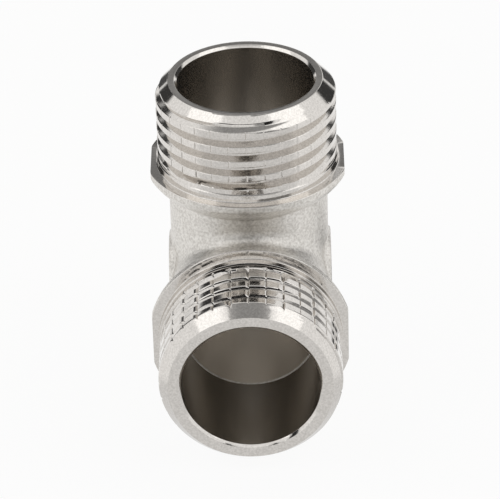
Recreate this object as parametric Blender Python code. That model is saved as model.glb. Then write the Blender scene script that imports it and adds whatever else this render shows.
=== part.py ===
"""Pipe elbow of 90 degrees with a half inch outside thread on both ports, forged in one piece.

The origin is where the two port axes cross. The upper port points along +Z and the front port along -Y.
The forging is made first: two barrels that meet in a round knee, with a filleted saddle on the inside of
the bend. Each port is a turned blank with a lead, a threaded length, a land and a collar. Then the bores
and the two helical thread grooves are cut, as they are on the real fitting.
"""

import math

import bmesh
import bpy
from mathutils import Matrix

# The bend, in metres like everything below.
LEG = 0.0250
BARREL_RADIUS = 0.00902
SADDLE_RADIUS = 0.0015
PAD_RADIUS = 0.0047
PAD_RISE = 0.00030
PAD_DRAFT = math.radians(14)

# The half inch pipe thread: 14 turns to the inch, flanks at 55 degrees, crests cut flat.
# Near the face the tool is still drawn back a little, by the run-in of that port, and it reaches its full
# depth over the run-in's length.
PITCH = 0.0254 / 14
FLANK_ANGLE = math.radians(55)
CREST_RADIUS = 0.01015
THREAD_DEPTH = 0.0008
ROOT_RADIUS = CREST_RADIUS - THREAD_DEPTH
ROOT_WIDTH = 0.00026
GROOVE_DEPTH_AT_MARK = 0.00093
GROOVE_END = 0.00895
RUN_OUT_TURN = 0.25
UPPER_RUN_IN = 0.00014
UPPER_RUN_IN_LENGTH = 0.004
FRONT_RUN_IN = 0.0006
FRONT_RUN_IN_LENGTH = 0.010

# The end of a port: its face, the lead in front of the thread, and the bore's mouth.
UPPER_FACE_RADIUS = 0.00869
FRONT_FACE_RADIUS = 0.00910
LEAD_LENGTH = 0.0015
MOUTH_CHAMFER = 0.0003

# The land behind the thread and the collar that a nut stops against. Halfway down its draft the collar's
# underside bulges out.
LAND_RISE = 0.00015
LAND_RADIUS = CREST_RADIUS + LAND_RISE
LAND_LENGTH = 0.00085
LAND_STEP = 0.0001
SHOULDER_DEPTH = 0.0102
SHOULDER_FILLET = 0.00012
COLLAR_RADIUS = 0.01140
COLLAR_THICKNESS = 0.00082
COLLAR_EDGE = 0.00010
COLLAR_DRAFT_LENGTH = 0.00215
UNDERSIDE_BULGE = 0.00028
ACROSS_FLATS = 0.02188

# The bore is opened out from each face and goes on a little narrower to its drill point in the bend.
BORE_RADIUS = 0.00767
BORE_DEPTH = 0.01220
INNER_BORE_RADIUS = 0.00747
DRILL_POINT_ANGLE = math.radians(118)

# How round things are divided: a turn, the saddle's fillet, and the knee between the barrels.
TURN_STEPS = 48
HALF_STEP = math.pi / TURN_STEPS
SADDLE_STEPS = 5
KNEE_STEPS = 12

# How far a helper reaches past what it cuts or joins.
OVERLAP = 0.0006

# Points closer than this are one point.
MERGE = 0.0000001

SHARP_ANGLE = math.radians(24)


def clear_scene():
    for old in list(bpy.data.objects):
        bpy.data.objects.remove(old, do_unlink=True)


def nickel_plate():
    """Nickel over brass, a warm grey metal with a satin surface."""
    plate = bpy.data.materials.new("nickel_plate")
    plate.use_nodes = True
    shader = plate.node_tree.nodes["Principled BSDF"]
    shader.inputs["Base Color"].default_value = (0.52, 0.49, 0.45, 1)
    shader.inputs["Metallic"].default_value = 1
    shader.inputs["Roughness"].default_value = 0.3
    return plate


def add_solid(name, shape, helper=True):
    """Turns a bmesh into an object. A helper only cuts or joins, so it stays out of the render."""
    bmesh.ops.recalc_face_normals(shape, faces=shape.faces)
    mesh = bpy.data.meshes.new(name)
    shape.to_mesh(mesh)
    shape.free()
    solid = bpy.data.objects.new(name, mesh)
    bpy.context.scene.collection.objects.link(solid)
    if helper:
        solid.hide_render = True
        solid.display_type = "WIRE"
    return solid


def combine(solid, operation, other):
    """Adds a live Boolean to the solid."""
    boolean = solid.modifiers.new(operation.lower() + "_" + other.name, "BOOLEAN")
    boolean.operation = operation
    boolean.solver = "EXACT"
    boolean.object = other


def arc(centre, radius, start, end, steps):
    """Points of an arc in a plane, from the start angle to the end angle."""
    angles = [start + (end - start) * step / steps for step in range(steps + 1)]
    return [(centre[0] + radius * math.cos(a), centre[1] + radius * math.sin(a)) for a in angles]


def turned(outline, start=0):
    """Spins an outline of (radius, depth) points round the port's axis. Depth is counted down from the face."""
    shape = bmesh.new()
    across, along = math.cos(start), math.sin(start)
    points = [shape.verts.new((radius * across, radius * along, LEG - depth)) for radius, depth in outline]
    edges = [shape.edges.new(pair) for pair in zip(points, points[1:])]
    bmesh.ops.spin(
        shape,
        geom=points + edges,
        cent=(0, 0, 0),
        axis=(0, 0, 1),
        angle=math.tau,
        steps=TURN_STEPS,
        use_merge=True,
    )
    bmesh.ops.remove_doubles(shape, verts=shape.verts, dist=MERGE)
    return shape


def bend_section(x):
    """Outline of the bend in the plane at x, as (y, z) points: a straight leg each way from the round knee."""
    half = math.sqrt(max(BARREL_RADIUS**2 - x**2, 0))
    reach = LEG - SHOULDER_DEPTH - COLLAR_THICKNESS / 2
    inside = half + SADDLE_RADIUS
    saddle = arc((-inside, inside), SADDLE_RADIUS, 0, -math.pi / 2, SADDLE_STEPS)
    knee = arc((0, 0), half, -math.pi / 2, 0, KNEE_STEPS)
    front_end = [(-reach, half), (-reach, -half), (-inside, -half)]
    upper_end = [(half, inside), (half, reach), (-half, reach)]
    return saddle + front_end + knee + upper_end


def bend():
    """The forged bend: its sections are joined from one side to the other, closer together near the sides.

    At each side the barrels thin out to a line, and only the corner inside the saddle's arc is left to close.
    """
    shape = bmesh.new()
    side_steps = TURN_STEPS // 2
    rings = []
    for step in range(side_steps + 1):
        x = -BARREL_RADIUS * math.cos(math.pi * step / side_steps)
        rings.append([shape.verts.new((x, y, z)) for y, z in bend_section(x)])
    for ring, following in zip(rings, rings[1:]):
        for i in range(len(ring)):
            j = (i + 1) % len(ring)
            shape.faces.new((ring[i], ring[j], following[j], following[i]))
    for ring in (rings[0], rings[-1]):
        saddle = ring[: SADDLE_STEPS + 1]
        centre = ring[SADDLE_STEPS + 4]
        shape.faces.new(saddle + [centre])
    bmesh.ops.remove_doubles(shape, verts=shape.verts, dist=MERGE)
    return add_solid("bend", shape)


def side_pads():
    """The round pads at the middle of the bend, one on each side, with the die's draft on their edges."""
    shape = bmesh.new()
    foot = BARREL_RADIUS / 2
    top = BARREL_RADIUS + PAD_RISE
    between_facets = Matrix.Rotation(HALF_STEP, 4, "Z")
    for side in (-1, 1):
        outwards = Matrix.Rotation(side * math.pi / 2, 4, "Y")
        bmesh.ops.create_cone(
            shape,
            cap_ends=True,
            segments=TURN_STEPS,
            radius1=PAD_RADIUS + (top - foot) * math.tan(PAD_DRAFT),
            radius2=PAD_RADIUS,
            depth=top - foot,
            matrix=outwards @ Matrix.Translation((0, 0, (top + foot) / 2)) @ between_facets,
        )
    return add_solid("side_pads", shape)


def port_outline(face_radius):
    """Half section of a port's blank, from the axis at the face round to the axis inside the bend."""
    land_start = SHOULDER_DEPTH - LAND_LENGTH
    rim_end = SHOULDER_DEPTH + COLLAR_THICKNESS
    overhang = COLLAR_RADIUS - BARREL_RADIUS
    underside = math.hypot(overhang, COLLAR_DRAFT_LENGTH)
    middle_radius = COLLAR_RADIUS - overhang / 2 + UNDERSIDE_BULGE * COLLAR_DRAFT_LENGTH / underside
    middle_depth = rim_end + COLLAR_DRAFT_LENGTH / 2 + UNDERSIDE_BULGE * overhang / underside
    foot_slope = (rim_end + COLLAR_DRAFT_LENGTH - middle_depth) / (middle_radius - BARREL_RADIUS)
    root_depth = rim_end + COLLAR_DRAFT_LENGTH + OVERLAP * foot_slope
    return [
        (0, 0),
        (face_radius, 0),
        (CREST_RADIUS, LEAD_LENGTH),
        (CREST_RADIUS, land_start - LAND_STEP),
        (LAND_RADIUS, land_start),
        (LAND_RADIUS, SHOULDER_DEPTH - SHOULDER_FILLET),
        (LAND_RADIUS + SHOULDER_FILLET, SHOULDER_DEPTH),
        (COLLAR_RADIUS - COLLAR_EDGE, SHOULDER_DEPTH),
        (COLLAR_RADIUS, SHOULDER_DEPTH + COLLAR_EDGE),
        (COLLAR_RADIUS, rim_end),
        (middle_radius, middle_depth),
        (BARREL_RADIUS - OVERLAP, root_depth),
        (0, root_depth),
    ]


def port_blank(name, face_radius):
    """A turned port whose collar has two wrench flats. Its facets lie between those of the bend and the groove."""
    shape = turned(port_outline(face_radius), HALF_STEP)
    for side in (-1, 1):
        cut = bmesh.ops.bisect_plane(
            shape,
            geom=list(shape.verts) + list(shape.edges) + list(shape.faces),
            plane_co=(side * ACROSS_FLATS / 2, 0, 0),
            plane_no=(side, 0, 0),
            clear_outer=True,
        )
        rim = [item for item in cut["geom_cut"] if isinstance(item, bmesh.types.BMEdge)]
        bmesh.ops.edgenet_fill(shape, edges=rim)
    return add_solid(name, shape)


def bore_cutter(name, start):
    """The drill and the boring tool of one port: mouth chamfer, wide bore, narrower bore, drill point."""
    mouth_radius = BORE_RADIUS + MOUTH_CHAMFER
    point_depth = LEG + INNER_BORE_RADIUS / math.tan(DRILL_POINT_ANGLE / 2)
    outline = [
        (0, -OVERLAP),
        (mouth_radius + OVERLAP, -OVERLAP),
        (BORE_RADIUS, MOUTH_CHAMFER),
        (BORE_RADIUS, BORE_DEPTH),
        (INNER_BORE_RADIUS, BORE_DEPTH),
        (INNER_BORE_RADIUS, LEG),
        (0, point_depth),
    ]
    return add_solid(name, turned(outline, start))


def groove_section(lift):
    """The threading tool's tip as (radius, offset along the axis) points, drawn back by the lift."""
    outer_radius = LAND_RADIUS + OVERLAP
    half_root = ROOT_WIDTH / 2
    half_outer = half_root + (outer_radius - ROOT_RADIUS) * math.tan(FLANK_ANGLE / 2)
    root = [(ROOT_RADIUS + lift, half_root), (ROOT_RADIUS + lift, -half_root)]
    outer = [(outer_radius + lift, -half_outer), (outer_radius + lift, half_outer)]
    return root + outer


def groove_cutter(name, mark_angle, run_in, run_in_length):
    """The right-hand thread groove as one swept solid. It starts in front of the face and runs out at its end.

    At the mark angle, counted from +X towards +Y, the groove lies GROOVE_DEPTH_AT_MARK behind the face,
    and then again after each further turn.
    """
    shape = bmesh.new()
    start = -PITCH / 2
    full_depth = LAND_RADIUS - ROOT_RADIUS + OVERLAP / 2
    steps = round((GROOVE_END - start) / PITCH * TURN_STEPS)
    first_step = round((GROOVE_DEPTH_AT_MARK - start) / PITCH * TURN_STEPS)
    rings = []
    for step in range(steps + 1):
        angle = mark_angle + math.tau * (first_step - step) / TURN_STEPS
        depth = GROOVE_DEPTH_AT_MARK + PITCH * (step - first_step) / TURN_STEPS
        turns_left = (steps - step) / TURN_STEPS
        lift = full_depth * max(0, 1 - turns_left / RUN_OUT_TURN)
        lift += run_in * max(0, 1 - depth / run_in_length)
        ring = []
        for radius, offset in groove_section(lift):
            ring.append(shape.verts.new((radius * math.cos(angle), radius * math.sin(angle), LEG - depth - offset)))
        rings.append(ring)
    for ring, following in zip(rings, rings[1:]):
        for i in range(len(ring)):
            j = (i + 1) % len(ring)
            shape.faces.new((ring[i], ring[j], following[j], following[i]))
    shape.faces.new(rings[0])
    shape.faces.new(rings[-1])
    return add_solid(name, shape)


def elbow():
    """The whole fitting: everything is joined to the bend first and cut afterwards."""
    to_front = Matrix.Rotation(math.pi / 2, 4, "X")
    fitting = bend()
    fitting.name = "elbow"
    fitting.hide_render = False
    fitting.display_type = "TEXTURED"

    upper = port_blank("upper_port", UPPER_FACE_RADIUS)
    front = port_blank("front_port", FRONT_FACE_RADIUS)
    front.matrix_world = to_front
    for blank in (side_pads(), upper, front):
        combine(fitting, "UNION", blank)

    upper_bore = bore_cutter("upper_bore", 0)
    front_bore = bore_cutter("front_bore", HALF_STEP / 2)
    front_bore.matrix_world = to_front
    upper_groove = groove_cutter("upper_groove", math.radians(270), UPPER_RUN_IN, UPPER_RUN_IN_LENGTH)
    front_groove = groove_cutter("front_groove", math.radians(90), FRONT_RUN_IN, FRONT_RUN_IN_LENGTH)
    front_groove.matrix_world = to_front
    for cutter in (upper_bore, front_bore, upper_groove, front_groove):
        combine(fitting, "DIFFERENCE", cutter)
    return fitting


def main():
    clear_scene()
    fitting = elbow()
    fitting.data.materials.append(nickel_plate())
    fitting.data.shade_smooth()
    fitting.data.set_sharp_from_angle(angle=SHARP_ANGLE)


main()
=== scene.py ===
# %% [markdown]
# # A threaded pipe elbow in nickel-plated brass
# This notebook dresses one pipe fitting: a 90 degree elbow with an outside thread on both ports. The real
# elbow is forged hot from brass, shot blasted, then bored, turned and threaded, and at last nickel plated.
# So it has two kinds of surface: the grainy forging, and the bright turned ports with their threads.
# The solid model comes first. It fixes where everything is, and the pieces made here lie on it.

# %% Load the solid model
import math

import bmesh
import bpy
import numpy as np
from mathutils import Matrix, Vector


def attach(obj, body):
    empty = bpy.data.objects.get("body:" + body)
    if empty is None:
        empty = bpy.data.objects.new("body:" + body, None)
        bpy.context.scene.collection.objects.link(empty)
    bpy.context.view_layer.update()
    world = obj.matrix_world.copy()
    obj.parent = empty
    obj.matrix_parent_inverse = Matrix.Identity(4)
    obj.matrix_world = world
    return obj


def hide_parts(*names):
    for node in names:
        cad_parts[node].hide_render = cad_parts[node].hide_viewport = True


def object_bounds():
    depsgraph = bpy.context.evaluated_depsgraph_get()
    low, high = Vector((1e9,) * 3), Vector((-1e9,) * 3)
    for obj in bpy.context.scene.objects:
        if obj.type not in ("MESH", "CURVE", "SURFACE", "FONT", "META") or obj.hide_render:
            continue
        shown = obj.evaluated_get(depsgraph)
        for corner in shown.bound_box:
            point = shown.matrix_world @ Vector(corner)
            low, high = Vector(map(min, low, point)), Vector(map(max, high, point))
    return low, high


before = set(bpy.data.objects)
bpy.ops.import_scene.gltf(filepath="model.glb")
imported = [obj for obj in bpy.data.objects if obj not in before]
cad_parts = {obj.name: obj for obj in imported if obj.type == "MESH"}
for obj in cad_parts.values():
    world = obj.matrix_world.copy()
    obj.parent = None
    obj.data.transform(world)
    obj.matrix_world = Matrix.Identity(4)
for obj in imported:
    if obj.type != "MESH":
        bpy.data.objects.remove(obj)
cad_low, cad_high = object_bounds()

MM = 0.001
print("solid model, mm:", [round((h - l) / MM, 2) for l, h in zip(cad_low, cad_high)])

# %% [markdown]
# ## The sizes
# A fitting like this is drawn from its centre, where the two port axes cross. All sizes are in millimetres
# here, as on a workshop drawing, and the factor MM turns them into Blender's metres when a mesh is made.
# Three sizes are read from the solid model. The others are named in the step that first needs them.
# Along a port, a depth is measured from its end face inwards.

# %% Sizes that the solid model gives
LEG = cad_high.z / MM
COLLAR_RADIUS = -cad_low.z / MM
HALF_FLATS = cad_high.x / MM
SIDES = (-1, 1)
print("leg", round(LEG, 3))
print("collar radius", round(COLLAR_RADIUS, 3), "and across its flats", round(2 * HALF_FLATS, 3))

# %% [markdown]
# ## Columns and notches
# The crests of this thread are notched all round, so that hemp or tape grips them. Each crest of a port has
# a ring of 32 shallow notches, steep on one side and flat on the other. A turned skin needs close columns
# only where a notch is, so the columns are packed there and spread out between two notches.
# No two notches of a real one are equally deep, so each gets its own share of the full depth. The seed
# is fixed, so that the same notches come out each time.

# %% Angles of the columns round a port
NOTCHES = 32
CRESTS = 8
# Places of the columns round one notch, as shares of the way to the next notch.
COLUMN_OFFSETS = (
    -0.45, -0.34, -0.23, -0.13, -0.06, -0.03, -0.012, 0.0, 0.02, 0.045, 0.075, 0.11, 0.20, 0.32, 0.44,
)
SHALLOWEST_SHARE = 0.2
NOTCH_SEED = 7
columns = np.array([(n + share) / NOTCHES * math.tau for n in range(NOTCHES) for share in COLUMN_OFFSETS])
notch_shares = np.random.default_rng(NOTCH_SEED).uniform(SHALLOWEST_SHARE, 1.0, (CRESTS, NOTCHES))
print("columns round a port:", len(columns))

# %% [markdown]
# ## Rounded outlines
# No real edge is perfectly sharp, and a bright edge line is the first thing that the eye looks for on turned
# metal. This helper takes the corners of an outline, each with its own small radius, and puts a short arc
# in place of each corner. A bevel modifier could do it too, but it would round all the edges alike.


# %% A helper that rounds the corners of an outline
def rounded(corners, steps=4):
    """corners are (x, y, radius). Returns the outline's points, with an arc of so many steps in each."""
    points = [corners[0][:2]]
    for before, corner, after in zip(corners, corners[1:], corners[2:]):
        here = Vector(corner[:2])
        if corner[2] == 0:
            points.append(tuple(here))
            continue
        to_before = (Vector(before[:2]) - here).normalized()
        to_after = (Vector(after[:2]) - here).normalized()
        half_angle = to_before.angle(to_after) / 2
        back_off = corner[2] / math.tan(half_angle)
        centre = here + (to_before + to_after).normalized() * corner[2] / math.sin(half_angle)
        start = here + to_before * back_off - centre
        turn = start.angle_signed(here + to_after * back_off - centre)
        for step in range(steps + 1):
            arm = start.copy()
            arm.rotate(Matrix.Rotation(-turn * step / steps, 2))
            points.append(tuple(centre + arm))
    points.append(corners[-1][:2])
    return points


print("a square corner becomes", len(rounded([(0, 1, 0), (0, 0, 0.2), (1, 0, 0)])) - 2, "points")

# %% [markdown]
# ## The thread
# A thread is a groove that climbs as it goes round. This is the half inch pipe thread, with 14 turns to the
# inch, flanks at 55 degrees to each other and crests cut flat. Here the skin is a grid whose rows climb with
# the groove, so each edge of the thread follows one row and stays crisp. Over one pitch the rows
# go from the middle of the root up one flank, over the crest and down the next flank.

# %% Rows over one pitch
PITCH = 25.4 / 14
CREST_RADIUS = 10.15
ROOT_RADIUS = 9.35
ROOT_WIDTH = 0.26
FLANK_SLOPE = math.tan(math.radians(55 / 2))
# Rows up a flank, as shares of its width. They crowd at its top edge, and the last lies just past it.
FLANK_SHARES = (0, 0.25, 0.5, 0.7, 0.85, 0.94, 1.0, 1.08)
# Rows from that edge to the middle of the crest, as shares of the way.
CREST_SHARES = (0.3, 0.6, 1.0)


def thread_rows():
    """Distances of the rows from the middle of a root, down the port."""
    half_root = ROOT_WIDTH / 2
    half_open = half_root + (CREST_RADIUS - ROOT_RADIUS) * FLANK_SLOPE
    flank = [half_root + (half_open - half_root) * share for share in FLANK_SHARES]
    crest = [half_open + (PITCH / 2 - half_open) * share for share in CREST_SHARES]
    half = flank + crest
    return sorted({round(distance, 5) for distance in half + [PITCH - d for d in half[:-1]]})


print("rows in a pitch:", len(thread_rows()))

# %% [markdown]
# ## The turned blank
# The radius at each point is the least of three shapes, just as three tools would leave it: the turned blank,
# the thread groove, and the notch. A smooth kind of minimum rounds the edges between them a little. The
# blank comes first. It is a cylinder with a cone at its end, the lead, which helps a nut to find the thread.

# %% Radius of the blank
LEAD_LENGTH = 1.5
LEAD_BLEND = 0.06


def smaller(a, b, blend):
    """The smaller of two values, with the corner between them rounded over by the blend."""
    near = np.clip(0.5 + 0.5 * (b - a) / blend, 0, 1)
    return b * (1 - near) + a * near - blend * near * (1 - near)


def blank_radius(depth, face_radius):
    """The turned blank: a conical lead at the face, then the crest cylinder."""
    lead = face_radius + (CREST_RADIUS - face_radius) * depth / LEAD_LENGTH
    return smaller(lead, np.full_like(depth, CREST_RADIUS), LEAD_BLEND)


halfway = blank_radius(np.array([LEAD_LENGTH / 2]), ROOT_RADIUS)
print("radius halfway down a lead that starts at the root:", halfway.round(2))

# %% [markdown]
# ## The thread groove
# The groove's radius depends only on how far a point lies from the middle of the nearest groove. Near the
# face the thread tool is still drawn back a little, which is its run-in, and in front of the plain land
# it is drawn out again.

# %% Radius of the groove
# Depth of the first groove's middle at the port's mark. From there it climbs round the port.
GROOVE_MARK_DEPTH = 0.93
GROOVE_END = 8.95
RUN_OUT_LENGTH = 0.45
RUN_OUT_CLEARANCE = 0.1
LAND_START = 9.35
LAND_STEP = 0.1


def groove_radius(depth, turned_past, run_in, run_in_length):
    """The thread groove. turned_past is how far down the port a point lies from the first groove's middle."""
    along = (turned_past + PITCH / 2) % PITCH - PITCH / 2
    run_out_share = np.clip((depth - GROOVE_END + RUN_OUT_LENGTH) / RUN_OUT_LENGTH, 0, 1)
    run_out = run_out_share * (CREST_RADIUS - ROOT_RADIUS + RUN_OUT_CLEARANCE)
    drawn_back = run_in * np.maximum(1 - depth / run_in_length, 0) + run_out
    return ROOT_RADIUS + np.maximum(np.abs(along) - ROOT_WIDTH / 2, 0) / FLANK_SLOPE + drawn_back


print("depth of the thread, mm:", round(CREST_RADIUS - ROOT_RADIUS, 2))

# %% [markdown]
# ## The notches
# A notch lowers the crests where it crosses them. It doesn't reach the roots, which lie deeper, and it fades
# out before the plain land. Seen from the face its left side is steep and its right side
# flat, which is why the crests between the notches look like worn bricks.

# %% Radius of the notches
# Rise of a notch's two sides, in mm for each mm sideways.
NOTCH_RISE_LEFT = 3.0
NOTCH_RISE_RIGHT = 0.6
# The notches begin to fade this far in front of the land, and are gone after the second length.
NOTCH_FADE_START = 0.6
NOTCH_FADE_LENGTH = 0.3


def notch_radius(angle, depth, turned_past, notch_depth):
    """The notches across the crests, each with its own share of the full depth."""
    share = (angle / math.tau * NOTCHES + 0.5) % 1 - 0.5
    sideways = share / NOTCHES * math.tau * CREST_RADIUS
    rise = np.where(sideways < 0, -sideways * NOTCH_RISE_LEFT, sideways * NOTCH_RISE_RIGHT)
    crest_number = np.clip(np.floor(turned_past / PITCH) + 1, 0, CRESTS - 1).astype(int)
    notch_number = np.floor(angle / math.tau * NOTCHES + 0.5).astype(int) % NOTCHES
    fade = np.clip((depth - LAND_START + NOTCH_FADE_START) / NOTCH_FADE_LENGTH, 0, 1)
    return CREST_RADIUS - notch_depth * notch_shares[crest_number, notch_number] + rise + fade


print("way between two notches, mm:", round(math.tau * CREST_RADIUS / NOTCHES, 2))

# %% [markdown]
# ## The outline in front of the thread and behind it
# A port is one closed ring of metal. In front of the thread come the bore wall, the chamfered mouth and the
# flat face. Behind it come the plain land, the shoulder that a nut stops against, and the collar's rim. The
# ring's last stretch lies hidden inside the forging, where it leads back to the foot of the bore wall.

# %% Outlines of a port
BORE_RADIUS = 7.67
BORE_DEPTH = 12.2
INNER_BORE_RADIUS = 7.47
MOUTH_CHAMFER = 0.3
MOUTH_ROUNDING = 0.06
FACE_ROUNDING = 0.05
LAND_RADIUS = 10.30
LAND_ROUNDING = 0.05
SHOULDER_DEPTH = 10.2
SHOULDER_FILLET = 0.12
COLLAR_THICKNESS = 0.82
RIM_ROUNDING_FRONT = 0.1
RIM_ROUNDING_BACK = 0.3
# How far the hidden stretch goes in from the rim, and down behind it, before it turns inwards.
TUCK_IN = 0.45
TUCK_DOWN = 0.5
HIDDEN_WALL = 0.5
HIDDEN_FOOT = BORE_DEPTH + 0.2


def inner_outline(face_radius):
    """From the hidden foot up the bore wall and over the mouth to the face's edge, as (radius, depth)."""
    return rounded(
        [
            (INNER_BORE_RADIUS, HIDDEN_FOOT, 0),
            (BORE_RADIUS, BORE_DEPTH, 0),
            (BORE_RADIUS, MOUTH_CHAMFER, MOUTH_ROUNDING),
            (BORE_RADIUS + MOUTH_CHAMFER, 0, FACE_ROUNDING),
            (face_radius - LEAD_BLEND, 0, 0),
        ]
    )


def outer_outline():
    """From the land over the shoulder and the rim, and back inside the forging to the hidden foot."""
    rim_end = SHOULDER_DEPTH + COLLAR_THICKNESS
    hidden_radius = BORE_RADIUS + HIDDEN_WALL
    return rounded(
        [
            (CREST_RADIUS, LAND_START - LAND_STEP, 0),
            (LAND_RADIUS, LAND_START, LAND_ROUNDING),
            (LAND_RADIUS, SHOULDER_DEPTH, SHOULDER_FILLET),
            (COLLAR_RADIUS, SHOULDER_DEPTH, RIM_ROUNDING_FRONT),
            (COLLAR_RADIUS, rim_end, RIM_ROUNDING_BACK),
            (COLLAR_RADIUS - TUCK_IN, rim_end + TUCK_DOWN, 0),
            (hidden_radius, rim_end + TUCK_DOWN, 0),
            (hidden_radius, HIDDEN_FOOT, 0),
            (INNER_BORE_RADIUS, HIDDEN_FOOT, 0),
        ]
    )


print("points of the outer outline:", len(outer_outline()))

# %% [markdown]
# ## From outlines to a grid
# The rows of the inner outline, of the thread and of the outer outline follow each other in one grid. The
# thread's rows start above the face and end past the land, because they climb as they go round. What
# sticks out at either end is held at that end, and points that fall together there are merged later.

# %% Points of a port
TURNS_ABOVE = 2
TURNS_BELOW = 3
EDGE_BLEND = 0.05


def port_points(mark_angle, face_radius, run_in, run_in_length, notch_depth):
    """Radius, angle and depth of every point, as one grid of rows down the port by columns round it."""
    angles = np.append(columns, columns[0] + math.tau)
    rows = []
    for radius, depth in inner_outline(face_radius):
        rows.append((np.full_like(angles, radius), np.full_like(angles, depth)))
    climb = PITCH * (angles - mark_angle) / math.tau
    for turn in range(-TURNS_ABOVE, math.ceil(LAND_START / PITCH) + TURNS_BELOW):
        for offset in thread_rows():
            depth = np.clip(turn * PITCH + offset + GROOVE_MARK_DEPTH - climb, 0, LAND_START - LAND_STEP)
            turned_past = depth + climb - GROOVE_MARK_DEPTH
            groove = groove_radius(depth, turned_past, run_in, run_in_length)
            notch = notch_radius(angles, depth, turned_past, notch_depth)
            threaded = smaller(blank_radius(depth, face_radius), groove, EDGE_BLEND)
            rows.append((smaller(threaded, notch, EDGE_BLEND), depth))
    for radius, depth in outer_outline():
        rows.append((np.full_like(angles, radius), np.full_like(angles, depth)))
    radius = np.array([row[0] for row in rows])
    depth = np.array([row[1] for row in rows])
    return radius, np.broadcast_to(angles, radius.shape), depth


print("rows and columns of a port:", port_points(0, ROOT_RADIUS, 0, 1, 0)[0].shape)

# %% [markdown]
# ## From the grid to a mesh
# Four neighbours in the grid make a face. Points that fall together are merged, which also closes the ring,
# and faces without any width are dissolved. So the mesh ends up watertight.

# %% A closed mesh from a grid
MERGE_DISTANCE = 0.002
THINNEST_FACE = 0.001


def grid_mesh(name, x, y, z):
    """A closed mesh from a grid of points in mm, whose last row and column meet the first."""
    rows, cols = x.shape
    points = np.stack([x, y, z], axis=-1).reshape(-1, 3) * MM
    index = np.arange(rows * cols).reshape(rows, cols)
    corners = [index[:-1, :-1], index[:-1, 1:], index[1:, 1:], index[1:, :-1]]
    quads = np.stack(corners, axis=-1).reshape(-1, 4)
    mesh = bpy.data.meshes.new(name)
    mesh.from_pydata(points.tolist(), [], quads.tolist())
    shape = bmesh.new()
    shape.from_mesh(mesh)
    bmesh.ops.remove_doubles(shape, verts=shape.verts, dist=MERGE_DISTANCE * MM)
    bmesh.ops.dissolve_degenerate(shape, edges=shape.edges, dist=THINNEST_FACE * MM)
    bmesh.ops.recalc_face_normals(shape, faces=shape.faces)
    shape.to_mesh(mesh)
    shape.free()
    return mesh


print("points closer than", MERGE_DISTANCE, "mm are merged")

# %% [markdown]
# ## The two ports
# The two wrench flats are made by holding every point within the width across the flats. Both ports are made
# standing up, and the front one is then laid over to the front. There the tool was drawn back further
# and the notches are deeper, so its thread looks like rows of bricks. Each port is finer than the
# solid model's, and shows in its place.

# %% Build the ports
SHARP_PORT_EDGE = math.radians(50)


def stand_for_elbow(piece):
    """The piece rides on the model's one body, and shows in place of the solid elbow."""
    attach(piece, "root")
    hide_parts("elbow")


def port(name, place, mark_angle, face_radius, run_in, run_in_length, notch_depth):
    """Makes a port standing up and puts it in its place. The lengths are in mm."""
    radius, angle, depth = port_points(mark_angle, face_radius, run_in, run_in_length, notch_depth)
    x = np.clip(radius * np.cos(angle), -HALF_FLATS, HALF_FLATS)
    mesh = grid_mesh(name, x, radius * np.sin(angle), LEG - depth)
    mesh.shade_smooth()
    mesh.set_sharp_from_angle(angle=SHARP_PORT_EDGE)
    mesh.transform(place)
    piece = bpy.data.objects.new(name, mesh)
    bpy.context.scene.collection.objects.link(piece)
    stand_for_elbow(piece)
    print(name, "has", len(mesh.polygons), "faces")
    return piece


to_front = Matrix.Rotation(math.pi / 2, 4, "X")
upper_port = port(
    "upper_port",
    Matrix(),
    mark_angle=math.radians(270),
    face_radius=8.69,
    run_in=0.14,
    run_in_length=4.0,
    notch_depth=0.09,
)
front_port = port(
    "front_port",
    to_front,
    mark_angle=math.radians(90),
    face_radius=9.10,
    run_in=0.6,
    run_in_length=10.0,
    notch_depth=0.22,
)

# %% [markdown]
# ## The forged bend
# Between the ports lies the forging. A pipe bend could be swept along a curve, but this one is a straight
# barrel for each port, a round knee outside and a filleted saddle inside. So it is cut in thought into
# thin slices from side to side. Each slice has the same kind of outline, only thinner towards the sides.

# %% One slice of the bend
BARREL_RADIUS = 9.02
SADDLE_RADIUS = 1.5
SADDLE_STEPS = 14
KNEE_STEPS = 40
# Each barrel ends this far behind its shoulder, hidden in the collar.
BARREL_SETBACK = 0.5


def arc(centre, radius, start, end, steps):
    angles = [start + (end - start) * step / steps for step in range(steps + 1)]
    return [(centre[0] + radius * math.cos(a), centre[1] + radius * math.sin(a)) for a in angles]


def bend_section(x):
    """Outline of the bend in the plane at x, as (y, z) points that start with the saddle."""
    half = math.sqrt(max(BARREL_RADIUS**2 - x**2, 0))
    reach = LEG - SHOULDER_DEPTH - BARREL_SETBACK
    inside = half + SADDLE_RADIUS
    saddle = arc((-inside, inside), SADDLE_RADIUS, 0, -math.pi / 2, SADDLE_STEPS)
    front_barrel = [(-reach, half), (-reach, -half), (-inside, -half)]
    knee = arc((0, 0), half, -math.pi / 2, 0, KNEE_STEPS)
    upper_barrel = [(half, inside), (half, reach), (-half, reach)]
    return saddle + front_barrel + knee + upper_barrel


print("points of a slice:", len(bend_section(0)))

# %% [markdown]
# ## From slices to a solid
# The slices lie closer together towards the sides, where the outline changes faster. Faces join each slice
# to the next. At either side only the saddle's arc and one point are left of it, and one face closes it.

# %% Build the bend
SLICES = 96
WELD_DISTANCE = 0.0001


def solid_from(name, shape):
    """Turns a finished shape into an object in the scene."""
    bmesh.ops.recalc_face_normals(shape, faces=shape.faces)
    mesh = bpy.data.meshes.new(name)
    shape.to_mesh(mesh)
    shape.free()
    solid = bpy.data.objects.new(name, mesh)
    bpy.context.scene.collection.objects.link(solid)
    return solid


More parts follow.
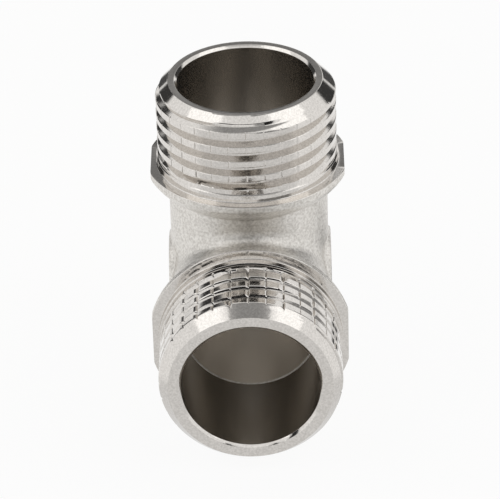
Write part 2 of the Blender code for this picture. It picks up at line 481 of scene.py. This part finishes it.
def bend():
    shape = bmesh.new()
    rings = []
    for slice_number in range(SLICES + 1):
        x = -BARREL_RADIUS * math.cos(math.pi * slice_number / SLICES)
        rings.append([shape.verts.new(Vector((x, y, z)) * MM) for y, z in bend_section(x)])
    for ring, following in zip(rings, rings[1:]):
        for i in range(len(ring)):
            j = (i + 1) % len(ring)
            shape.faces.new((ring[i], ring[j], following[j], following[i]))
    # The knee starts after the saddle's points and the three points of the front barrel.
    knee_start = SADDLE_STEPS + 1 + 3
    for ring in (rings[0], rings[-1]):
        shape.faces.new(ring[: SADDLE_STEPS + 1] + [ring[knee_start]])
    bmesh.ops.remove_doubles(shape, verts=shape.verts, dist=WELD_DISTANCE * MM)
    return solid_from("forging", shape)


forging = bend()
print("the bend has", len(forging.data.polygons), "faces")

# %% [markdown]
# ## A helper that turns a shape
# The collars' undersides, the side pads and the boring tools are all round. So one helper spins an outline
# round the upper port's axis, as a lathe does, and each shape is laid over to its place afterwards.


# %% Turn a shape
def turned(name, outline, steps, start=0.0):
    """Spins an outline of (radius, depth) points round the upper port's axis."""
    shape = bmesh.new()
    aside = Vector((math.cos(start), math.sin(start), 0))
    up = Vector((0, 0, 1))
    points = [shape.verts.new((aside * radius + up * (LEG - depth)) * MM) for radius, depth in outline]
    edges = [shape.edges.new(pair) for pair in zip(points, points[1:])]
    bmesh.ops.spin(
        shape,
        geom=points + edges,
        cent=(0, 0, 0),
        axis=up,
        angle=math.tau,
        steps=steps,
        use_merge=True,
    )
    bmesh.ops.remove_doubles(shape, verts=shape.verts, dist=WELD_DISTANCE * MM)
    return solid_from(name, shape)


print("merges points closer than", WELD_DISTANCE, "mm")

# %% [markdown]
# ## The collars' undersides
# A forging has to slip out of its die, so nothing on it is square: under its rim each collar tapers down to
# the barrel, and the taper bulges a little. It is turned as a cone and cut off at the two wrench flats.

# %% The undersides
UNDERSIDE_TURN_STEPS = 192
UNDERSIDE_STEPS = 8
UNDERSIDE_BULGE = 0.28
COLLAR_DRAFT_LENGTH = 2.15
# The cone stays a hair inside the rim and sinks into the barrel, so that no two surfaces fall together.
RIM_INSET = 0.02
BARREL_SINK = 0.1
# The cone's hidden top inside the collar: how far in from the rim, and how far above the cone.
TOP_INSET = 0.25
TOP_RISE = 0.3


def underside_outline():
    """From the axis out along the hidden top, down the bulged taper and back to the axis."""
    top = SHOULDER_DEPTH + COLLAR_THICKNESS
    rim = Vector((COLLAR_RADIUS - RIM_INSET, top))
    foot = Vector((BARREL_RADIUS - BARREL_SINK, top + COLLAR_DRAFT_LENGTH))
    outwards = Vector((foot.y - rim.y, rim.x - foot.x)).normalized()
    bulged = []
    for step in range(UNDERSIDE_STEPS + 1):
        share = step / UNDERSIDE_STEPS
        bulged.append(tuple(rim.lerp(foot, share) + outwards * UNDERSIDE_BULGE * math.sin(math.pi * share)))
    return [(0, top - TOP_RISE), (COLLAR_RADIUS - TOP_INSET, top - TOP_RISE)] + bulged + [(0, foot.y)]


def collar_underside():
    """The drafted cone under a collar, cut off at the two wrench flats."""
    half_step = math.pi / UNDERSIDE_TURN_STEPS
    cone = turned("underside", underside_outline(), UNDERSIDE_TURN_STEPS, half_step)
    shape = bmesh.new()
    shape.from_mesh(cone.data)
    for side in SIDES:
        cut = bmesh.ops.bisect_plane(
            shape,
            geom=list(shape.verts) + list(shape.edges) + list(shape.faces),
            plane_co=(side * HALF_FLATS * MM, 0, 0),
            plane_no=(side, 0, 0),
            clear_outer=True,
        )
        cut_edges = [item for item in cut["geom_cut"] if isinstance(item, bmesh.types.BMEdge)]
        bmesh.ops.edgenet_fill(shape, edges=cut_edges)
    bmesh.ops.recalc_face_normals(shape, faces=shape.faces)
    shape.to_mesh(cone.data)
    shape.free()
    return cone


print("points of an underside's outline:", len(underside_outline()))

# %% [markdown]
# ## The side pads
# Each side of the bend carries a low round pad, where a forging may be marked. On this one the pads stay
# bare. A pad is a short turned boss whose side leans in towards its rounded rim.

# %% The side pads
PAD_TURN_STEPS = 96
PAD_RADIUS = 4.7
PAD_RISE = 0.3
PAD_TOP = BARREL_RADIUS + PAD_RISE
PAD_FOOT = 5.0
PAD_DRAFT = math.radians(14)
PAD_ROUNDING = 0.25


def side_pad(side):
    """A round pad for one side, turned standing up and then laid over to that side."""
    foot_radius = PAD_RADIUS + (PAD_TOP - PAD_FOOT) * math.tan(PAD_DRAFT)
    foot_depth = LEG - PAD_FOOT
    top_depth = LEG - PAD_TOP
    corners = [
        (0, foot_depth, 0),
        (foot_radius, foot_depth, 0),
        (PAD_RADIUS, top_depth, PAD_ROUNDING),
        (0, top_depth, 0),
    ]
    pad = turned("pad", rounded(corners), PAD_TURN_STEPS, math.pi / PAD_TURN_STEPS)
    pad.data.transform(Matrix.Rotation(side * math.pi / 2, 4, "Y"))
    return pad


print("pads stand out by", PAD_RISE, "mm")

# %% [markdown]
# ## Helpers that join and soften
# Two solids are joined or cut with a boolean modifier, which is applied at once. Softening works on the whole
# forging: a remesh gives it an even skin of small faces, and smoothing then takes the sharpness off each
# edge, as the die and the shot do.

# %% Join and soften
VOXEL = 0.2
SOFTENING = 0.5
SOFTENING_STEPS = 6
# The exact solver is slow on a skin with more faces than this, and the manifold solver cuts it instead.
FINE_SKIN = 20000


def combine(solid, operation, other):
    """Joins or cuts with another solid at once, and takes that solid away."""
    boolean = solid.modifiers.new(operation.lower(), "BOOLEAN")
    boolean.operation = operation
    boolean.solver = "MANIFOLD" if len(solid.data.polygons) > FINE_SKIN else "EXACT"
    boolean.object = other
    with bpy.context.temp_override(object=solid, active_object=solid):
        bpy.ops.object.modifier_apply(modifier=boolean.name)
    bpy.data.objects.remove(other, do_unlink=True)


def soften(solid):
    remesh = solid.modifiers.new("even_skin", "REMESH")
    remesh.mode = "VOXEL"
    remesh.voxel_size = VOXEL * MM
    smooth = solid.modifiers.new("soft_edges", "SMOOTH")
    smooth.factor = SOFTENING
    smooth.iterations = SOFTENING_STEPS
    with bpy.context.temp_override(object=solid, active_object=solid):
        for modifier in list(solid.modifiers):
            bpy.ops.object.modifier_apply(modifier=modifier.name)


print("faces of the softened skin are about", VOXEL, "mm wide")

# %% [markdown]
# ## The boring tool
# Each port is bored out from its face, and a narrower drill goes on from there. It leaves a cone at its end.
# Near the face the tool here is a little wider than the real one, because the port brings its own wall.

# %% The boring tool
BORE_TURN_STEPS = 160
BORE_CLEARANCE = 0.25
BORE_START = SHOULDER_DEPTH - 1
DRILL_POINT_SLOPE = math.tan(math.radians(118 / 2))


def boring_tool(start):
    outline = [
        (0, BORE_START),
        (BORE_RADIUS + BORE_CLEARANCE, BORE_START),
        (BORE_RADIUS + BORE_CLEARANCE, BORE_DEPTH),
        (INNER_BORE_RADIUS, BORE_DEPTH),
        (INNER_BORE_RADIUS, LEG),
        (0, LEG + INNER_BORE_RADIUS / DRILL_POINT_SLOPE),
    ]
    return turned("boring_tool", outline, BORE_TURN_STEPS, start)


print("drill point's length, mm:", round(INNER_BORE_RADIUS / DRILL_POINT_SLOPE, 2))

# %% [markdown]
# ## Joining, softening and boring
# The order is that of the real elbow. First the forging is made whole: the pads and the undersides join the
# bend. Then it is softened. Only then is it bored from both faces, so the bores' edges stay crisp, and the
# two bores meet inside the bend.

# %% Join, soften and bore the forging
SHARP_FORGED_EDGE = math.radians(40)
for side in SIDES:
    combine(forging, "UNION", side_pad(side))
for place in (Matrix(), to_front):
    cone = collar_underside()
    cone.data.transform(place)
    combine(forging, "UNION", cone)
soften(forging)
# The second tool is turned a little, so that its edges don't fall on those of the first.
for place, start in ((Matrix(), 0), (to_front, math.pi / BORE_TURN_STEPS / 2)):
    tool = boring_tool(start)
    tool.data.transform(place)
    combine(forging, "DIFFERENCE", tool)
forging.data.shade_smooth()
forging.data.set_sharp_from_angle(angle=SHARP_FORGED_EDGE)
stand_for_elbow(forging)
print("forging has", len(forging.data.polygons), "faces")

# %% [markdown]
# ## Finishes
# Nickel is a warm grey metal. The plating is only some thousandths of a millimetre thick, so it keeps the
# skin that lies under it: blasted on the forging, turned on the ports, and dull inside the bores.
# Every finish is a metal with a fine noise in it, so two small helpers do most of the work.


# %% Node helpers
def linear(hex_colour):
    """An sRGB hex colour as linear red, green, blue and alpha."""
    parts = [int(hex_colour[i : i + 2], 16) / 255 for i in (1, 3, 5)]
    return [p / 12.92 if p <= 0.04045 else ((p + 0.055) / 1.055) ** 2.4 for p in parts] + [1]


def add_node(tree, kind, sockets=None, **settings):
    """Adds one node with its settings. Each socket gets a value, or is linked when given (node, output)."""
    node = tree.nodes.new(kind)
    for key, value in settings.items():
        setattr(node, key, value)
    for key, value in (sockets or {}).items():
        if isinstance(value, tuple):
            tree.links.new(value[0].outputs[value[1]], node.inputs[key])
        else:
            node.inputs[key].default_value = value
    return node


print("nickel's mid tone, linear:", [round(value, 3) for value in linear("#CECAC5")])

# %% [markdown]
# ## The metal with a noise in it
# One noise drives all of a finish: its colour between two tones, its roughness between two values and a
# slight bump. So the colour and the shine change together, as on real plating. The noise's grain is
# given in millimetres.

# %% A plated metal
# Nearly all of the noise lies between these two values, so the two tones stand there.
NOISE_LOW = 0.35
NOISE_HIGH = 0.65


def noisy_metal(name, grain, detail, bump_strength, bump_height):
    """A metal with a noise of this grain in mm. Returns the material, its tree, its shader and the noise."""
    material = bpy.data.materials.new(name)
    material.use_nodes = True
    tree = material.node_tree
    shader = tree.nodes["Principled BSDF"]
    shader.inputs["Metallic"].default_value = 1
    place = add_node(tree, "ShaderNodeTexCoord")
    pattern = {"Vector": (place, "Object"), "Scale": 1 / (grain * MM), "Detail": detail}
    noise = add_node(tree, "ShaderNodeTexNoise", pattern)
    height = {"Height": (noise, "Fac"), "Strength": bump_strength, "Distance": bump_height * MM}
    bump = add_node(tree, "ShaderNodeBump", height)
    tree.links.new(bump.outputs["Normal"], shader.inputs["Normal"])
    return material, tree, shader, (noise, "Fac")


def vary(tree, shader, source, dark, light, smoothest, roughest):
    """Lets the noise shift the colour between two hex tones, and the roughness between two values."""
    tone = add_node(tree, "ShaderNodeValToRGB", {"Fac": source})
    first, last = tone.color_ramp.elements
    first.position = NOISE_LOW
    first.color = linear(dark)
    last.position = NOISE_HIGH
    last.color = linear(light)
    rough = add_node(tree, "ShaderNodeMapRange", {"Value": source, "To Min": smoothest, "To Max": roughest})
    tree.links.new(tone.outputs["Color"], shader.inputs["Base Color"])
    tree.links.new(rough.outputs["Result"], shader.inputs["Roughness"])


print("the tones stand at", NOISE_LOW, "and", NOISE_HIGH)

# %% [markdown]
# ## Shot-blasted nickel plate
# Steel shot leaves the forging covered with fine round dents, which spread each highlight into a soft glow.
# Real dents are about 0.1 mm wide. A picture of this size can't show them, so they are drawn 0.28 mm wide.


# %% Shot-blasted nickel plate
def shot_blasted_nickel():
    material, tree, shader, noise = noisy_metal(
        "shot_blasted_nickel_plate", grain=0.28, detail=3, bump_strength=0.8, bump_height=0.06
    )
    vary(tree, shader, noise, dark="#C6C2BC", light="#E6E3DE", smoothest=0.34, roughest=0.5)
    return material


blasted_finish = shot_blasted_nickel()
print("made", blasted_finish.name)

# %% [markdown]
# ## Turned nickel plate
# The cutting tool leaves the ports nearly as smooth as a mirror. The eye sees sharp reflections, broken up
# only by a faint speckle in the plating. The speckle is really finer, and is drawn 0.22 mm wide so that it
# shows.


# %% Turned nickel plate
def turned_nickel():
    material, tree, shader, noise = noisy_metal(
        "turned_nickel_plate", grain=0.22, detail=4, bump_strength=0.3, bump_height=0.01
    )
    vary(tree, shader, noise, dark="#CECAC5", light="#DFDBD6", smoothest=0.03, roughest=0.14)
    return material


turned_finish = turned_nickel()
print("made", turned_finish.name)

# %% [markdown]
# ## Plating inside the bores
# Plating doesn't reach well into a bore, so it is thin and dull there. The bored walls near the mouths are
# darker, and the drilled part behind them is rougher and a little lighter. Tool marks are too fine to show,
# and a slight bump with a grain of 0.3 mm stands in for them.


# %% Bored and drilled nickel plate
def bore_nickel(name, colour, roughness):
    material, _, shader, _ = noisy_metal(name, grain=0.3, detail=3, bump_strength=0.4, bump_height=0.01)
    shader.inputs["Base Color"].default_value = linear(colour)
    shader.inputs["Roughness"].default_value = roughness
    return material


bored_finish = bore_nickel("bored_nickel_plate", "#AFAAA3", 0.25)
drilled_finish = bore_nickel("drilled_nickel_plate", "#D8D3CC", 0.35)
print("made", bored_finish.name, "and", drilled_finish.name)

# %% [markdown]
# ## Which face gets which finish
# A finish belongs to a place on the elbow, so each face asks where its centre lies. The walls of the bores
# get the dull plating. The rims of the collars belong to the ports' meshes but are left as forged,
# so they get the blasted plating. All the rest keeps the main finish of its piece.

# %% Dress the pieces
# How near the wall counts as the bore, how wide a rim's band is, and how far under the shoulder it starts.
ON_THE_WALL = 0.02
RIM_BAND = 0.6
BELOW_SHOULDER = 0.05


def is_bored(point):
    """Tells whether a point, in mm, lies within the bores' walls and drill points."""
    for radius, past_centre in ((point.xy.length, -point.z), (point.xz.length, point.y)):
        if radius + max(past_centre, 0) * DRILL_POINT_SLOPE < BORE_RADIUS + ON_THE_WALL:
            return True
    return False


def is_rim(point):
    """Tells whether a point, in mm, lies on a collar's rim, which is left as forged."""
    top = LEG - SHOULDER_DEPTH - BELOW_SHOULDER
    for radius, height in ((point.xy.length, point.z), (point.xz.length, -point.y)):
        if radius > COLLAR_RADIUS - RIM_BAND and LEG - BORE_DEPTH < height < top:
            return True
    return False


def dress(piece, main_finish, bore_finish):
    """Gives each face the finish of the place that it lies on. The rims get the forging's own."""
    piece.data.materials.clear()
    for finish in (main_finish, bore_finish, blasted_finish):
        piece.data.materials.append(finish)
    for face in piece.data.polygons:
        point = face.center / MM
        if is_bored(point):
            face.material_index = 1
        elif is_rim(point):
            face.material_index = 2


dress(upper_port, turned_finish, bored_finish)
dress(front_port, turned_finish, bored_finish)
dress(forging, blasted_finish, drilled_finish)
print("dressed", [piece.name for piece in (upper_port, front_port, forging)])

# %% [markdown]
# ## Studio
# The elbow stands on a plain white table in a white studio. Polished metal is a mirror, and in a room that is
# white all round it would look like chalk. So a photographer hangs dark flags where an edge or a thread must
# stand out. Here a flag is a stretch of directions with less light. Cards of geometry would throw
# shadows and could be seen from other sides, which a direction can't.

# %% The flags
# Each flag is (azimuth of its middle, half width, height from, height to, softness of its edge, light left).
# Azimuths are degrees from the front, positive to the right. Heights run from -1 below to 1 above.
FLAGS = (
    # In front and above, mirrored by the top of the front port's thread.
    (0, 39, 0.40, 0.71, 0.03, 0.02),
    (-59, 13, 0.38, 0.53, 0.03, 0.02),
    # In front to the right, near the table.
    (32, 20, -0.05, 0.32, 0.05, 0.30),
    # Overhead, mirrored by the middle of the front port's lead.
    (0, 360, 0.90, 2.00, 0.07, 0.33),
    # Behind the elbow, mirrored by what faces up: the front port's thread and the upper port's face.
    (193, 20, 0.22, 0.44, 0.04, 0.04),
    (190, 18, 0.44, 0.70, 0.05, 0.22),
    # Behind to the left and right, mirrored where the upper port's grooves and its lead turn out of sight.
    *[(side * 135, 11, -0.02, 0.58, 0.04, 0.05) for side in SIDES],
    *[(side * 158, 9, -0.09, 0.03, 0.02, 0.08) for side in SIDES],
    # On the table: a spot to the right, and a slight shade in front.
    (118, 14, -0.46, -0.29, 0.03, 0.06),
    (0, 60, -2.00, -0.05, 0.10, 0.80),
)
print("flags:", len(FLAGS))

# %% [markdown]
# ## Light from a direction
# The studio's light is a small sum made of nodes: a direction comes in, and its brightness comes out. Each
# flag asks whether the direction is within its width and between its heights, with soft edges, and takes
# away its share of the light. The sky and the table both use it.


# %% Studio light
def studio_light(tree, direction):
    """Light from a direction, given as (node, output): 1 all round, and less within each flag."""
    split = add_node(tree, "ShaderNodeSeparateXYZ", {0: direction})
    frontwards = add_node(tree, "ShaderNodeMath", {0: (split, "Y"), 1: -1}, operation="MULTIPLY")
    azimuth = add_node(tree, "ShaderNodeMath", {0: (split, "X"), 1: (frontwards, 0)}, operation="ARCTAN2")
    light = 1
    for middle, half_width, low, high, edge, remaining in FLAGS:
        middle_angle = math.radians(middle)
        aside = add_node(tree, "ShaderNodeMath", {0: (azimuth, 0), 1: middle_angle}, operation="SUBTRACT")
        wrapped = add_node(tree, "ShaderNodeMath", {0: (aside, 0), 1: math.pi, 2: -math.pi}, operation="WRAP")
        away = add_node(tree, "ShaderNodeMath", {0: (wrapped, 0)}, operation="ABSOLUTE")
        borders = (
            ((away, 0), math.radians(half_width), -1),
            ((split, "Z"), low, 1),
            ((split, "Z"), high, -1),
        )
        inside = 1
        for value, border, way in borders:
            ends = {"Value": value, "From Min": border - way * edge, "From Max": border + way * edge}
            step = add_node(tree, "ShaderNodeMapRange", ends, interpolation_type="SMOOTHSTEP")
            product = add_node(tree, "ShaderNodeMath", {0: (step, 0), 1: inside}, operation="MULTIPLY")
            inside = (product, 0)
        kept = add_node(tree, "ShaderNodeMapRange", {"Value": inside, "To Min": 1, "To Max": remaining})
        product = add_node(tree, "ShaderNodeMath", {0: (kept, 0), 1: light}, operation="MULTIPLY")
        light = (product, 0)
    return light


print("the darkest flag leaves", min(flag[-1] for flag in FLAGS), "of the light")

# %% [markdown]
# ## The table
# The table is a sheet of white paper that ends far outside the picture. The camera sees it nearly as bright
# as the background, with the elbow's faint shadow. Rays that come from polished metal or pass through
# glass see the studio light instead, by where they meet the paper as seen from the elbow.

# %% Table
TABLE_SIZE = 3.0
PAPER_COLOUR = "#F4F4F2"
PAPER_ROUGHNESS = 0.8
SELF_LIT_SHARE = 0.92


def table_paper():
    material = bpy.data.materials.new("white_paper")
    material.use_nodes = True
    material.cycles.emission_sampling = "NONE"
    tree = material.node_tree
    shader = tree.nodes["Principled BSDF"]
    shader.inputs["Base Color"].default_value = linear(PAPER_COLOUR)
    shader.inputs["Roughness"].default_value = PAPER_ROUGHNESS
    paper = (shader, "BSDF")
    ray = add_node(tree, "ShaderNodeLightPath")
    place = add_node(tree, "ShaderNodeNewGeometry")
    direction = add_node(tree, "ShaderNodeVectorMath", {0: (place, "Position")}, operation="NORMALIZE")
    light = studio_light(tree, (direction, "Vector"))
    white = add_node(tree, "ShaderNodeEmission")
    mirrored = add_node(tree, "ShaderNodeEmission", {"Strength": light})
    both = {0: (ray, "Is Glossy Ray"), 1: (ray, "Is Transmission Ray")}
    metal_or_glass = add_node(tree, "ShaderNodeMath", both, operation="MAXIMUM")
    for_camera = {"Fac": SELF_LIT_SHARE, 1: paper, 2: (white, "Emission")}
    seen = add_node(tree, "ShaderNodeMixShader", for_camera)
    for_metal = {"Fac": (metal_or_glass, 0), 1: paper, 2: (mirrored, "Emission")}
    unseen = add_node(tree, "ShaderNodeMixShader", for_metal)
    for_all = {"Fac": (ray, "Is Camera Ray"), 1: (unseen, "Shader"), 2: (seen, "Shader")}
    whole = add_node(tree, "ShaderNodeMixShader", for_all)
    tree.links.new(whole.outputs["Shader"], tree.nodes["Material Output"].inputs["Surface"])
    return material


def square_table(size, height):
    mesh = bpy.data.meshes.new("table")
    half = size / 2
    corners = [(-half, -half, 0), (half, -half, 0), (half, half, 0), (-half, half, 0)]
    mesh.from_pydata(corners, [], [(0, 1, 2, 3)])
    mesh.materials.append(table_paper())
    plane = bpy.data.objects.new("table", mesh)
    plane.location = (0, 0, height)
    bpy.context.scene.collection.objects.link(plane)
    return plane


table = square_table(TABLE_SIZE, cad_low.z)
print("table top at", round(table.location.z / MM, 2), "mm")

# %% [markdown]
# ## The lamps
# Two square softboxes stand to the left and right, above the elbow. They are weak, and only lift the
# forging's sides and give the elbow its soft shadow.

# %% Softboxes
# Sizes in metres. The direction is that of the right box, seen from the elbow.
BOX_SIZE = 0.34
BOX_DISTANCE = 0.6
BOX_RADIANCE = 0.45
BOX_DIRECTION = Vector((0.6, -0.2, 0.75))


def softbox(name, direction):
    """A square area lamp that looks at the elbow from a direction. Its face has the named radiance."""
    lamp = bpy.data.lights.new(name, "AREA")
    lamp.shape = "RECTANGLE"
    lamp.size = BOX_SIZE
    lamp.size_y = BOX_SIZE
    lamp.energy = BOX_RADIANCE * math.pi * BOX_SIZE * BOX_SIZE
    box = bpy.data.objects.new(name, lamp)
    towards = direction.normalized()
    box.location = towards * BOX_DISTANCE
    box.rotation_mode = "QUATERNION"
    box.rotation_quaternion = towards.to_track_quat("Z", "Y")
    bpy.context.scene.collection.objects.link(box)
    return box


for name, side in (("left_box", -1), ("right_box", 1)):
    box = softbox(name, Vector((side * BOX_DIRECTION.x, BOX_DIRECTION.y, BOX_DIRECTION.z)))
    print(name, "gives", round(box.data.energy, 3), "W")

# %% [markdown]
# ## The white studio round it
# The world is what lies behind everything. The camera sees it as plain white, and all other rays see the
# studio light with its flags. So the background stays white while the metal still mirrors the flags.

# %% World
world = bpy.data.worlds.new("studio")
bpy.context.scene.world = world
world.use_nodes = True
world_tree = world.node_tree
background = world_tree.nodes["Background"]
ray = add_node(world_tree, "ShaderNodeLightPath")
sky = add_node(world_tree, "ShaderNodeTexCoord")
light = studio_light(world_tree, (sky, "Generated"))
choice = {"Factor": (ray, "Is Camera Ray"), "A": light, "B": 1}
strength = add_node(world_tree, "ShaderNodeMix", choice, data_type="FLOAT")
background.inputs["Color"].default_value = (1, 1, 1, 1)
world_tree.links.new(strength.outputs["Result"], background.inputs["Strength"])
print("nodes of the world:", len(world_tree.nodes))

# %% [markdown]
# ## The camera
# The camera stands in front of the elbow and looks down on it from 381 mm away. Its place was fitted to
# the outlines of the real elbow: the two face circles, the collars and the turns of the thread. The scale,
# in pixels for each millimetre at the elbow's centre, gives the focal length.

# %% Camera
IMAGE_WIDTH = 500
SENSOR_WIDTH = 36
CAMERA_DISTANCE = 381.3
CAMERA_AZIMUTH = math.radians(0.9115)
CAMERA_ELEVATION = math.radians(31.4341)
CAMERA_ROLL = math.radians(-1.7574)
PIXELS_PER_MM = 8.6393
AIM_RIGHT = -0.0946
AIM_UP = 2.1066
level = Vector((math.cos(CAMERA_AZIMUTH), math.sin(CAMERA_AZIMUTH), 0))
backwards = Vector((math.sin(CAMERA_AZIMUTH), -math.cos(CAMERA_AZIMUTH), 0))
back = backwards * math.cos(CAMERA_ELEVATION) + Vector((0, 0, math.sin(CAMERA_ELEVATION)))
upright = back.cross(level)
right = math.cos(CAMERA_ROLL) * level + math.sin(CAMERA_ROLL) * upright
up = -math.sin(CAMERA_ROLL) * level + math.cos(CAMERA_ROLL) * upright
lens = bpy.data.cameras.new("camera")
lens.sensor_width = SENSOR_WIDTH
lens.lens = SENSOR_WIDTH * PIXELS_PER_MM * CAMERA_DISTANCE / IMAGE_WIDTH
lens.clip_start = 0.01
lens.clip_end = 10
camera_place = Matrix((right, up, back)).transposed().to_4x4()
camera_place.translation = (back * CAMERA_DISTANCE + right * AIM_RIGHT + up * AIM_UP) * MM
camera = bpy.data.objects.new("camera", lens)
camera.matrix_world = camera_place
bpy.context.scene.collection.objects.link(camera)
bpy.context.scene.camera = camera
bpy.context.scene.view_settings.view_transform = "Standard"
print("focal length, mm:", round(lens.lens, 1))
